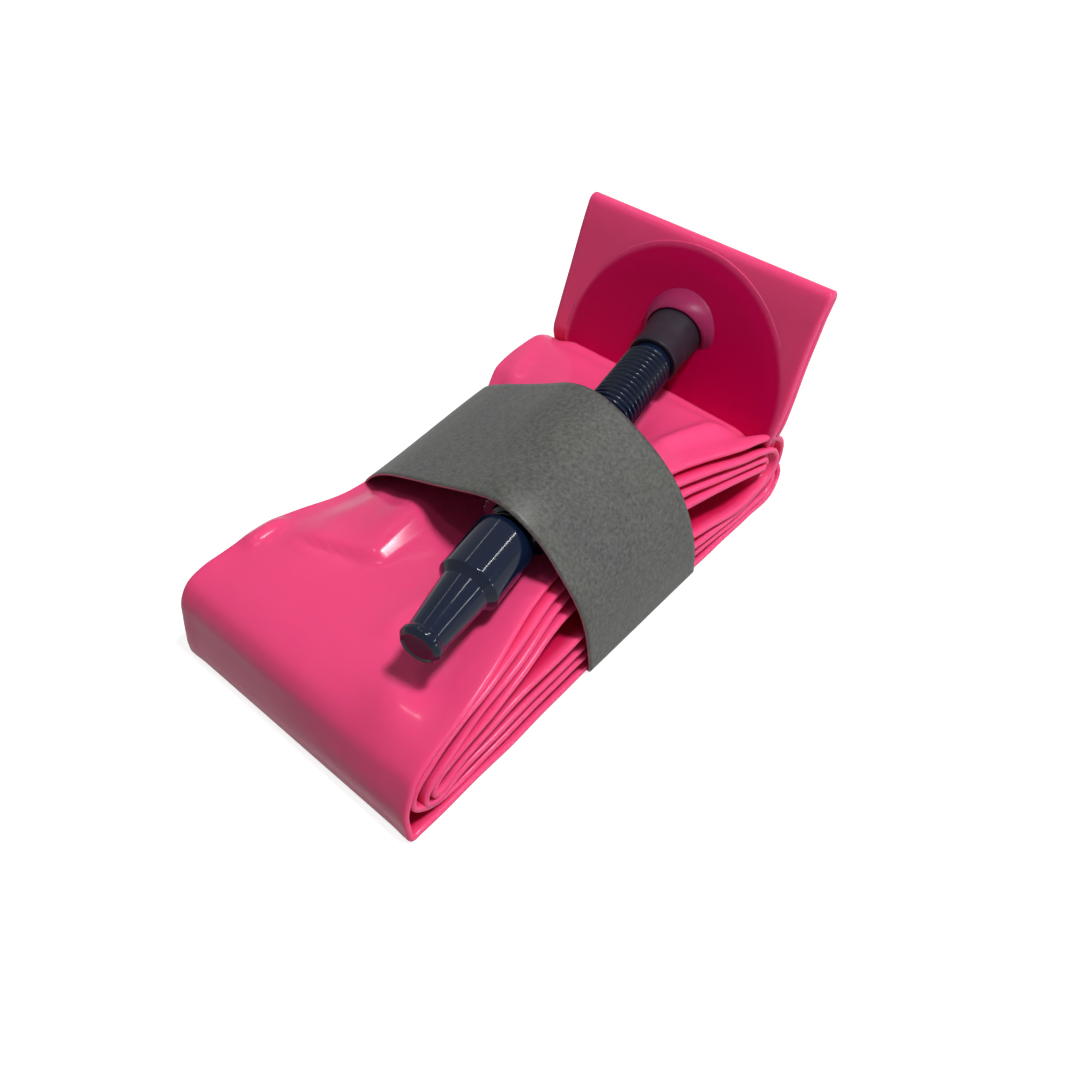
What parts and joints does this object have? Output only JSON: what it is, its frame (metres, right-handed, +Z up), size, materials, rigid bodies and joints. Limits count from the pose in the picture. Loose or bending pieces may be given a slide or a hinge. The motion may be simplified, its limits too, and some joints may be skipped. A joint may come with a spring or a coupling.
{
  "type": "bicycle inner tube",
  "caption": "Flattened bicycle inner tube, doubled and rolled into a flat bundle with its presta valve end standing up, held by a paper band; capped valve lies on top.",
  "frame": {"origin": "centre of the bounding box on the surface that the roll lies on", "axes": "+X along the roll towards the standing flap, +Z up; the dust cap points to -X and a little to -Y"},
  "size_m": [0.0716, 0.0372, 0.0281],
  "materials": {
    "tube_pink": "glossy, slightly translucent thermoplastic polyurethane film",
    "patch_crimson": "glossy thicker thermoplastic polyurethane",
    "collar_plastic": "matte moulded plastic",
    "valve_navy": "dark blue anodised and polished",
    "core_brass": "machined",
    "core_rubber": "matte",
    "band_paper": "uncoated dark grey card with a fine grain",
    "glue": "clear dried adhesive"
  },
  "bodies": {
    "tube_and_valve": {"tube_flap_front": "tube_pink", "tube_flap_back": "tube_pink", "tube_flap_fold": "tube_pink", "tube_outer_turn_outside": "tube_pink", "tube_outer_turn_inside": "tube_pink", "tube_inner_turn_outside": "tube_pink", "tube_inner_turn_inside": "tube_pink", "tube_tail_fold": "tube_pink", "valve_patch": "patch_crimson", "valve_boss": "patch_crimson", "valve_flange": "patch_crimson", "valve_collar": "collar_plastic", "valve_stem": "valve_navy"},
    "band": {"paper_band": "band_paper", "paper_band_tab": "band_paper", "band_glue_strip": "glue"},
    "rim_nut": {"rim_nut": "valve_navy"},
    "core": {"core_body": "core_brass", "core_gasket": "core_rubber"},
    "pin": {"core_pin": "core_brass", "core_seal": "core_rubber"},
    "lock_nut": {"core_lock_nut": "core_brass"},
    "dust_cap": {"dust_cap": "valve_navy"}
  },
  "joints": [
    {"name": "band_slide", "type": "slide", "parent": "tube_and_valve", "child": "band", "axis": [1, 0, 0], "range_m": [0, 0.005]},
    {"name": "rim_nut_travel", "type": "slide", "parent": "tube_and_valve", "child": "rim_nut", "axis": [-0.9794, -0.2016, -0.0087], "range_m": [-0.0265, 0.0015]},
    {"name": "core_turn", "type": "hinge", "parent": "tube_and_valve", "child": "core", "pos_m": [-0.01045, -0.00901, 0.01775], "axis": [-0.9794, -0.2016, -0.0087], "range_deg": [0, 1800]},
    {"name": "pin_press", "type": "slide", "parent": "core", "child": "pin", "axis": [-0.9794, -0.2016, -0.0087], "range_m": [-0.0015, 0]},
    {"name": "lock_nut_travel", "type": "slide", "parent": "pin", "child": "lock_nut", "axis": [-0.9794, -0.2016, -0.0087], "range_m": [0, 0.0016]},
    {"name": "cap_pull", "type": "slide", "parent": "tube_and_valve", "child": "dust_cap", "axis": [-0.9794, -0.2016, -0.0087], "range_m": [0, 0.018]}
  ]
}
